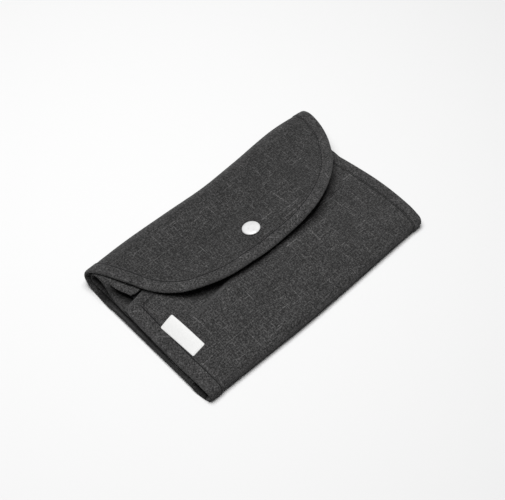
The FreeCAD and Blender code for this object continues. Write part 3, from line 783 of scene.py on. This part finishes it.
# ------------ front fold and panel

LEFT_FRONT_WIDTH = 12.0
MOUTH_HEM_WIDTH = 10.0
MOUTH_GAIN = 0.8
MOUTH_POINTS = 110
# The two rows of stitches along the mouth: distance from it, and share of the hem's gain.
MOUTH_STITCHES = [(8.95, 0.2), (6.2, 0.55)]

panel_rows = np.r_[np.linspace(FRONT_SEAM, 4, 18)[:-1], np.linspace(4, MOUTH - 1.2, 66)]
panel_grid = cloth_grid(LEFT_PANEL_EDGE, RIGHT_PANEL_EDGE[::-1], panel_rows, columns=150)
front_cloth = face_slab("front_cloth", front_face, *panel_grid, 0.0, -CLOTH, canvas)
bending(front_cloth, "front", "canvas", "front_panel")
front_lining = face_slab("front_lining_cloth", front_face, *panel_grid, -CLOTH, -CLOTH - LINING, lining_cloth)
bending(front_lining, "front", "lining_cloth", "front_lining")
front_trim = []
for side, edge, width, seed in (
    ("left", LEFT_PANEL_EDGE, LEFT_FRONT_WIDTH, 31),
    ("right", RIGHT_PANEL_EDGE, TAPE_WIDTH, 32),
):
    gain = proud(edge, FRONT_SEAM + 1, FRONT_SEAM + 9)
    edge_tape = tape(f"{side}_front_tape", front_face, edge, gain, tape_cloth, seed, width)
    bending(edge_tape, "front", "binding_tape", f"{side}_front_binding")
    seam = inset_path(edge, width * STITCH_INSET)
    edge_thread = stitches(f"{side}_front_thread", [(front_face, seam, THREAD_RISE * gain)], dark_thread)
    bending(edge_thread, "front", "binding_tape")
    front_trim += [edge_tape, edge_thread]
mouth_x = np.linspace(LEFT_PANEL_EDGE[-1, 0] + 2.5, RIGHT_PANEL_EDGE[0, 0] - 2.5, MOUTH_POINTS)
mouth_path = np.stack([mouth_x, np.full(MOUTH_POINTS, MOUTH)], -1)
mouth_gain = np.full(MOUTH_POINTS, MOUTH_GAIN)
mouth_hem = tape("mouth_hem_cloth", front_face, mouth_path, mouth_gain, canvas, 41, MOUTH_HEM_WIDTH)
bending(mouth_hem, "front", "canvas", "mouth_hem")
mouth_rows = [
    (front_face, inset_path(mouth_path, inset), mouth_gain * rise) for inset, rise in MOUTH_STITCHES
]
mouth_thread = stitches("mouth_hem_thread", mouth_rows, dark_thread)
bending(mouth_thread, "front", "canvas")
front_trim += [mouth_hem, mouth_thread]

# ------------ side label

LABEL_CENTRE = (-98.9, -20.4)
LABEL_HALF = (6.1, 17.6)
LABEL_TURN = math.radians(3.0)
LABEL_CORNER = 0.6
LABEL_RISE = 0.62
LABEL_CROWN = 0.12
LABEL_THREAD_RISE = 0.68


def rounded_grid(half, corner, columns, rows):
    """A grid over a rectangle whose corners are rounded."""
    u, v = grid(np.linspace(-1, 1, columns), np.linspace(-1, 1, rows))
    past = np.maximum(np.abs(v) * half[1] - half[1] + corner, 0)
    reach = corner - np.sqrt(np.maximum(corner**2 - past**2, 0))
    return u * (half[0] - reach), v * half[1]


def label_place(u, v):
    """The place on the front face of a place on the label."""
    x = LABEL_CENTRE[0] + u * math.cos(LABEL_TURN) - v * math.sin(LABEL_TURN)
    y = LABEL_CENTRE[1] + u * math.sin(LABEL_TURN) + v * math.cos(LABEL_TURN)
    return x, (y - FRONT_FOLD_Y) / PANEL_LEAN


label_u, label_v = rounded_grid(LABEL_HALF, LABEL_CORNER, 16, 60)
label_rise = LABEL_RISE + LABEL_CROWN * np.cos(label_u / LABEL_HALF[0] * 1.4)
label_outer = lifted(front_face, *label_place(label_u, label_v), label_rise)
label_inner = lifted(front_face, *label_place(label_u, label_v), 0.05)
label = slab("side_label_satin", label_outer, label_inner, np.stack([label_u, label_v], -1), label_satin)
riding(label, "front", "label_satin", "side_label")
seam_u = np.linspace(-LABEL_HALF[0] + 1, LABEL_HALF[0] - 1, 12)
label_seams = [np.stack(label_place(seam_u, end * (LABEL_HALF[1] - 1.1)), -1) for end in (-1, 1)]
label_runs = [(front_face, seam, np.full(len(seam), LABEL_THREAD_RISE)) for seam in label_seams]
label_thread = stitches("side_label_thread", label_runs, white_thread, pitch=1.9, radius=0.13)
riding(label_thread, "front", "label_satin")

# ------------ snap

CAP_RADIUS = (CAP_HIGH[0] - CAP_LOW[0]) / 2
# Share of the radius, and height, from the middle of the dome to the middle of the underside.
CAP_PROFILE = [(0.0, 2.05), (0.3, 1.98), (0.6, 1.78), (0.8, 1.5), (0.92, 1.15), (0.99, 0.7), (1.0, 0.35),
               (0.97, 0.1), (0.85, 0.0), (0.0, 0.0)]
CAP_TILT = 0.1
CAP_SEGMENTS = 72


def snap_cap():
    """A domed, rolled-edge cap that lies on the flap's slope."""
    profile = smooth_path(np.array([(r * CAP_RADIUS, z) for r, z in CAP_PROFILE]), 0.35)
    radius, rise = profile[1:-1].T[..., None]
    angle = np.linspace(0, 2 * math.pi, CAP_SEGMENTS, endpoint=False)
    rings = np.stack([radius * np.cos(angle), radius * np.sin(angle), rise * np.ones(CAP_SEGMENTS)], -1)
    spot = np.array([SNAP_X]), np.array([BACK_FOLD_Y - SNAP_Y])
    centre = back_face(*spot)[0]
    normal = lifted(back_face, *spot, 1.0)[0] - centre
    normal += np.array([0.0, CAP_TILT, 0.0])
    normal /= np.linalg.norm(normal)
    side = np.array([1.0, 0.0, 0.0])
    ahead = np.cross(normal, side)
    place = centre + rings @ np.array([side, ahead, normal])
    return band("snap_cap_enamel", place, rings[..., :2], enamel)


riding(snap_cap(), "flap", "snap_enamel", "snap_cap")

# ------------ plies inside the folded bag

# Each ply's section as (y, z) points, at its open left end and inside the bag.
OUTER_END = [(-62, 4.9), (-20, 5.0), (20, 5.2), (40, 5.4), (47, 5.5), (56, 5.6), (64, 6.2), (69, 8.6),
             (69.4, 13.5), (66, 18.6), (61, 20.5), (56.5, 20.6), (52.2, 19.2), (49.0, 14.8), (46.6, 10.4),
             (42.5, 8.0), (36, 6.8), (15, 6.3), (-30, 6.1), (-61, 6.1)]
OUTER_MIDDLE = [(-62, 5.6), (-20, 5.6), (20, 5.6), (40, 5.6), (47, 5.6), (56, 5.6), (62, 5.6), (66, 6.0),
                (66.6, 6.6), (66, 7.3), (62, 7.7), (57, 7.7), (52, 7.7), (49, 7.7), (46, 7.7), (43, 7.7),
                (36, 7.7), (15, 7.7), (-30, 7.6), (-61, 7.4)]
INNER_END = [(-53, 2.9), (0, 2.8), (36, 2.8), (50, 3.2), (60, 2.5), (65.5, 2.4), (66.8, 3.3), (65, 4.1),
             (58, 4.6), (49, 4.7), (36, 4.4), (0, 4.2), (-52, 4.3)]
INNER_MIDDLE = [(-60, 2.5), (0, 2.5), (36, 2.5), (50, 2.5), (57, 2.5), (60.5, 2.6), (61.5, 3.2),
                (60.5, 3.9), (57, 4.2), (50, 4.2), (36, 4.2), (0, 4.2), (-59, 4.2)]
# The share of a ply's length that has coarse columns; both ends beyond it have fine ones.
PLY_COARSE = 0.86
PLY_WAVE = 0.18
PLY_RAGGED = 0.5
PLY_HEM = 0.35


def ply(name, node, end, middle, reach, thick, seed, right_share, flare):
    """A folded ply. Its section changes from the open loop at the ends to a flat fold inside the bag.
    flare is how much further its left end reaches near the front fold."""
    end_path = smooth_path(end, 1.3)
    middle_path = smooth_path(middle, 1.3)
    count = len(end_path)
    share = np.linspace(0, 1, count)
    old = np.linspace(0, 1, len(middle_path))
    middle_path = np.stack([np.interp(share, old, middle_path[:, k]) for k in (0, 1)], -1)
    left = np.linspace(-1, -PLY_COARSE, 14)[:-1]
    right = np.linspace(PLY_COARSE, 1, 14)[1:]
    x = np.r_[left, np.linspace(-PLY_COARSE, PLY_COARSE, 60), right] * reach
    open_share = ramp(np.abs(x), 101, 111) * np.where(x > 0, right_share, 1.0)
    along = run_length(end_path)
    path = middle_path[None] + open_share[:, None, None] * (end_path - middle_path)[None]
    wave = ripples(x[:, None], along[None, :], 24, seed) * PLY_WAVE
    ragged = ripples(along, 0 * along, 30, seed + 3) * PLY_RAGGED
    spread = x[:, None] + np.sign(x)[:, None] * ragged[None, :] * ramp(np.abs(x), 100, 114)[:, None]
    spread -= flare * ramp(x, -84, -114)[:, None] * ramp(path[..., 0], 30, -54)
    points = np.concatenate([spread[..., None], path], -1)
    ahead = np.gradient(points, axis=1)
    normal = np.stack([0 * ahead[..., 0], -ahead[..., 2], ahead[..., 1]], -1)
    normal /= np.linalg.norm(normal, axis=-1, keepdims=True)
    edge = 1 + PLY_HEM * ramp(np.abs(x), reach - 6, reach - 2)
    half = (thick / 2 * edge)[:, None, None]
    centre = points + normal * wave[..., None]
    flat = grid(x, along)
    piece = slab(name, centre + normal * half, centre - normal * half, np.stack(flat, -1), inner_cloth)
    riding(piece, "folded_bag", "canvas", node)


ply("outer_ply_cloth", "outer_bag_plies", OUTER_END, OUTER_MIDDLE, 114.6, 1.1, 51, 0.8, 0.0)
ply("inner_ply_cloth", "inner_bag_plies", INNER_END, INNER_MIDDLE, 114.4, 0.8, 52, 0.9, 2.6)

# ------------ zip yoke, tapes, coils

YOKE_LOW, YOKE_HIGH = box_mm("zip_yoke")
YOKE_CLOTH = 1.1
yoke_x, yoke_y = grid(
    np.linspace(YOKE_LOW[0] + 5, YOKE_HIGH[0], 110), np.linspace(YOKE_LOW[1], YOKE_HIGH[1], 24)
)
# It sags at its right end, at its left end, and a little less along the left half of its front.
yoke_sag = 3.4 * ramp(yoke_x, 78, 104) * ramp(yoke_y, YOKE_HIGH[1] + 4, YOKE_HIGH[1] - 10)
yoke_sag += 3.6 * np.maximum(
    ramp(yoke_x, -92, -106) * ramp(yoke_y, YOKE_HIGH[1] + 6, YOKE_HIGH[1] - 6),
    0.6 * ramp(yoke_x, -16, -30) * ramp(yoke_y, 24, 10),
)
yoke_z = YOKE_HIGH[2] - 0.2 - yoke_sag + ripples(yoke_x, yoke_y, 30, 61) * 0.15
yoke_top = np.stack([yoke_x, yoke_y, yoke_z], -1)
yoke = slab("zip_yoke_cloth", yoke_top, yoke_top - [0, 0, YOKE_CLOTH], yoke_top[..., :2], inner_cloth)
riding(yoke, "folded_bag", "canvas", "zip_yoke")


def zip_tape(node, cord_at_high):
    """A woven zip tape with a raised cord along its toothed edge."""
    low, high = box_mm(node)
    across = np.linspace(0, 1, 18)
    cord = np.exp(-(((across - 0.93) / 0.06) ** 2)) * 0.35
    crown = np.sin(across * math.pi) * 0.06 + cord
    if not cord_at_high:
        crown = crown[::-1]
    x, y = grid(np.linspace(low[0], high[0], 150), low[1] + (high[1] - low[1]) * across)
    wave = ripples(x, y, 26, 71 + cord_at_high) * 0.06
    top = np.stack([x, y, high[2] - 0.2 + crown[None, :] + wave], -1)
    bottom = np.stack([x, y, low[2] + wave], -1)
    piece = slab(f"{node}_weave", top, bottom, np.stack([x, y], -1), zip_weave)
    riding(piece, "folded_bag", "zip_tape", node)


zip_tape("zip_tape_front", True)
zip_tape("zip_tape_back", False)


def zip_coil(node, offset, sign):
    """A nylon coil: a flattened helix whose turns reach between the other coil's turns."""
    low, high = box_mm(node)
    wire = 0.24
    pitch = 1.35
    reach = 0.78
    turn_points = 14
    rise = (high[2] - low[2]) / 2 - wire / 2
    turns = int((high[0] - low[0]) / pitch)
    phase = np.linspace(0, turns * 2 * math.pi, turns * turn_points)
    x = low[0] + 0.4 + phase / (2 * math.pi) * pitch + offset * pitch
    y = (low[1] + high[1]) / 2 + sign * (reach * 0.55 + reach * np.cos(phase))
    z = (low[2] + high[2]) / 2 + rise * np.sin(phase)
    curve = bpy.data.curves.new(f"{node}_wire", "CURVE")
    curve.dimensions = "3D"
    curve.bevel_depth = wire * MM
    curve.bevel_resolution = 1
    spline = curve.splines.new("POLY")
    spline.points.add(len(x) - 1)
    spline.points.foreach_set("co", np.stack([x * MM, y * MM, z * MM, np.ones(len(x))], -1).ravel())
    spline.use_smooth = True
    curve.use_fill_caps = True
    curve.materials.append(nylon)
    made = new_object(f"{node}_curve", curve)
    bpy.context.view_layer.update()
    mesh = bpy.data.meshes.new_from_object(made)
    bpy.data.objects.remove(made)
    piece = new_object(f"{node}_wire", mesh)
    mesh.polygons.foreach_set("use_smooth", [True] * len(mesh.polygons))
    riding(piece, "folded_bag", "zip_nylon", node)


zip_coil("zip_coil_front", 0.0, 1.0)
zip_coil("zip_coil_back", 0.5, -1.0)

# ------------ sleeves and cuffs

# How flat a pressed tube's section is: 1 would be an ellipse.
FLAT_POWER = 0.16


def flat_tube(x, y_low, y_high, z_low, z_high, points):
    """Rings of a flattened tube. Every size is one value for each x."""
    angle = np.linspace(0, 2 * math.pi, points, endpoint=False)
    half_y = (y_high - y_low)[:, None] / 2
    half_z = (z_high - z_low)[:, None] / 2
    y = (y_high + y_low)[:, None] / 2 + half_y * np.cos(angle)
    side = np.sign(np.sin(angle)) * np.abs(np.sin(angle)) ** FLAT_POWER
    z = (z_high + z_low)[:, None] / 2 + half_z * side
    return np.stack([np.broadcast_to(x[:, None], y.shape), y, z], -1)


def tube_piece(name, node, slot, away, rings, shrink, material):
    """A tube of cloth. Its inner side is its outer rings, shrunk. It returns the piece and its flat grid."""
    low, high = box_mm(node)
    centre = rings.mean(axis=1, keepdims=True)
    inside = centre + (rings - centre) * np.array(shrink)
    flat = grid(away, np.linspace(0, 2 * (high[1] - low[1]), rings.shape[1]))
    piece = slab(name, rings, inside, np.stack(flat, -1), material, tube=True)
    riding(piece, "folded_bag", slot, node)
    return piece, flat


def sleeve(side, sign):
    """An arm sleeve pressed flat, gathered towards its cuff."""
    low, high = box_mm(f"{side}_sleeve")
    inner, outer = sorted(abs(np.array([low[0], high[0]])))
    away = np.linspace(outer, inner, 64)
    gather = ramp(away, inner + 26, inner)
    drop = 1.2 + 0.7 * ramp(away, 84, 106)
    y_low = low[1] + 8 * gather
    y_high = high[1] - 8 * gather
    rings = flat_tube(sign * away, y_low, y_high, 0 * away + low[2] + 0.2, high[2] - 0.2 - drop, 120)
    folds = ripples(away[:, None], rings[..., 1], 17, 80 + int(sign)) * 0.28
    pleats = np.sin(rings[..., 1] * 2 * math.pi / 6.5 + away[:, None] * 0.12) * 0.32 * gather[:, None]
    upper = rings[..., 2] > (low[2] + high[2]) / 2
    rings[..., 2] += np.where(upper, np.minimum(folds + pleats, 0.35), 0.0)
    name = f"{side}_sleeve"
    piece, flat = tube_piece(f"{name}_cloth", name, "canvas", away, rings, (1.0, 0.985, 0.62), inner_cloth)


def cuff(side, sign):
    """The ribbed elastic cuff at the sleeve's end."""
    node = f"{side}_cuff_elastic"
    low, high = box_mm(node)
    inner, outer = sorted(abs(np.array([low[0], high[0]])))
    away = np.linspace(outer, inner, 16)
    sizes = [np.full(16, size) for size in (low[1], high[1], low[2] + 0.1, high[2] - 0.1)]
    rings = flat_tube(sign * away, *sizes, 220)
    rib = np.abs(np.sin(rings[..., 1] * math.pi / 2.2)) * 0.3
    upper = rings[..., 2] > (low[2] + high[2]) / 2
    rings[..., 2] += np.where(upper, -rib, rib)
    tube_piece(f"{side}_cuff_ribbing", node, "elastic", away, rings, (1.0, 0.98, 0.5), elastic)


for side, sign in (("left", -1.0), ("right", 1.0)):
    sleeve(side, sign)
    cuff(side, sign)

# ------------ light trap

# The x of its left edge along y, and the y of its front edge.
TRAP_LEFT = [(29.8, -105.0), (43, -109.0), (57.4, -112.0)]
TRAP_FRONT = 31.6
TRAP_CLOTH = 0.8
TRAP_HEM_WIDTH = 7.0
TRAP_HEM_GAIN = 0.55
TRAP_THREAD_RISE = 0.12


def trap_face(x, y):
    """The top of the flap of cloth that covers the zip."""
    share = np.clip((y - TRAP_FRONT) / (TRAP_HIGH[1] - TRAP_FRONT), 0, 1)
    z = 18.5 + 2.2 * share**1.2 + ripples(x, y, 34, 91) * 0.15
    return np.stack([x, y, z], -1)


OUTWARD[trap_face] = 1.0
trap_rows = np.linspace(TRAP_FRONT, TRAP_HIGH[1], 26)
trap_low = through(trap_rows, TRAP_LEFT)
trap_x = trap_low + (TRAP_HIGH[0] - trap_low) * np.linspace(0, 1, 130)[:, None]
trap_y = np.broadcast_to(trap_rows, trap_x.shape).copy()
trap_cloth = face_slab("light_trap_cloth", trap_face, trap_x, trap_y, 0.0, -TRAP_CLOTH, canvas)
riding(trap_cloth, "light_trap", "canvas", "light_trap_flap")
hem_y = TRAP_FRONT - 0.6
trap_edge = smooth_path(
    [(TRAP_HIGH[0], hem_y), (0, hem_y), (-70, hem_y), (-97, TRAP_FRONT - 0.5), (-103.8, TRAP_FRONT + 0.1),
     (-105.6, TRAP_FRONT + 2.5), (-108.6, 40), (-112.2, TRAP_HIGH[1])],
    step=1.6,
)
trap_gain = np.full(len(trap_edge), TRAP_HEM_GAIN)
trap_hem = tape(
    "light_trap_hem_cloth", trap_face, trap_edge, trap_gain, canvas, 95, TRAP_HEM_WIDTH, TRAP_CLOTH
)
riding(trap_hem, "light_trap", "canvas", "light_trap_hem")
trap_seam = inset_path(trap_edge, TRAP_HEM_WIDTH * STITCH_INSET)
trap_run = (trap_face, trap_seam, np.full(len(trap_seam), TRAP_THREAD_RISE))
trap_thread = stitches("light_trap_thread", [trap_run], dark_thread)
riding(trap_thread, "light_trap", "canvas")

# ------------ CAD pieces that stay

for node, finish in (
    ("snap_socket", nickel),
    ("snap_stud", nickel),
    ("snap_rivet", nickel),
    ("zip_end_stops", gunmetal),
    ("zip_slider", gunmetal),
    ("zip_pull", gunmetal),
):
    kept = frame["nodes"][node]
    kept.data.materials.clear()
    kept.data.materials.append(finish)

# ------------ studio

FLOOR_HALF = 20.0
# The world's brightness by the sine of the height above the horizon: from, to, and the value at each.
BACKDROP = (0.03, 0.12, 0.6, 0.0)
DOME = (0.3, 0.85, 0.3, 2.1)


def studio():
    """A pale floor, and a sky that is brightest overhead."""
    mesh = bpy.data.meshes.new("floor")
    corners = [(-1, -1), (1, -1), (1, 1), (-1, 1)]
    mesh.from_pydata([(x * FLOOR_HALF, y * FLOOR_HALF, 0.0) for x, y in corners], [], [(0, 1, 2, 3)])
    floor = new_object("floor", mesh)
    floor.location.z = -0.0001
    paper = Nodes("floor_paper")
    paper.set(Base_Color=(0.62, 0.62, 0.62, 1.0), Roughness=0.9, Specular_IOR_Level=0.1)
    mesh.materials.append(paper.owner)
    sky = Nodes("studio", "worlds", "Background")
    rise = sky.split(sky.new("ShaderNodeTexCoord").outputs["Generated"])[2]
    sky.set(Strength=sky.plus(sky.stretch(rise, *BACKDROP), sky.stretch(rise, *DOME)))
    bpy.context.scene.world = sky.owner


def around(azimuth, elevation, distance):
    """A place round the middle, in degrees and metres. Azimuth 0 is on the +Y side, 90 on +X."""
    flat = math.cos(math.radians(elevation)) * distance
    return Vector((
        flat * math.sin(math.radians(azimuth)),
        flat * math.cos(math.radians(azimuth)),
        math.sin(math.radians(elevation)) * distance,
    ))


def soft_light(name, azimuth, elevation, distance, size, power):
    """A large square light that looks at the object."""
    data = bpy.data.lights.new(name, "AREA")
    data.size = size
    data.energy = power
    light = new_object(name, data)
    light.location = around(azimuth, elevation, distance)
    light.rotation_euler = (-light.location).to_track_quat("-Z", "Y").to_euler()


CAMERA_AZIMUTH = 223.5
CAMERA_ELEVATION = 56.4
CAMERA_DISTANCE = 0.9605
CAMERA_TARGET = Vector((-0.0004, 0.0064, 0.0))
CAMERA_LENS = 84.66


def camera():
    """The photograph's viewpoint."""
    data = bpy.data.cameras.new("camera")
    data.lens = CAMERA_LENS
    data.sensor_width = 36.0
    view = new_object("camera", data)
    away = around(CAMERA_AZIMUTH, CAMERA_ELEVATION, CAMERA_DISTANCE)
    view.location = CAMERA_TARGET + away
    view.rotation_euler = away.to_track_quat("Z", "Y").to_euler()
    bpy.context.scene.camera = view


studio()
soft_light("overhead", azimuth=-20, elevation=83, distance=1.4, size=0.9, power=33)
camera()
bpy.context.scene.view_settings.view_transform = "Standard"
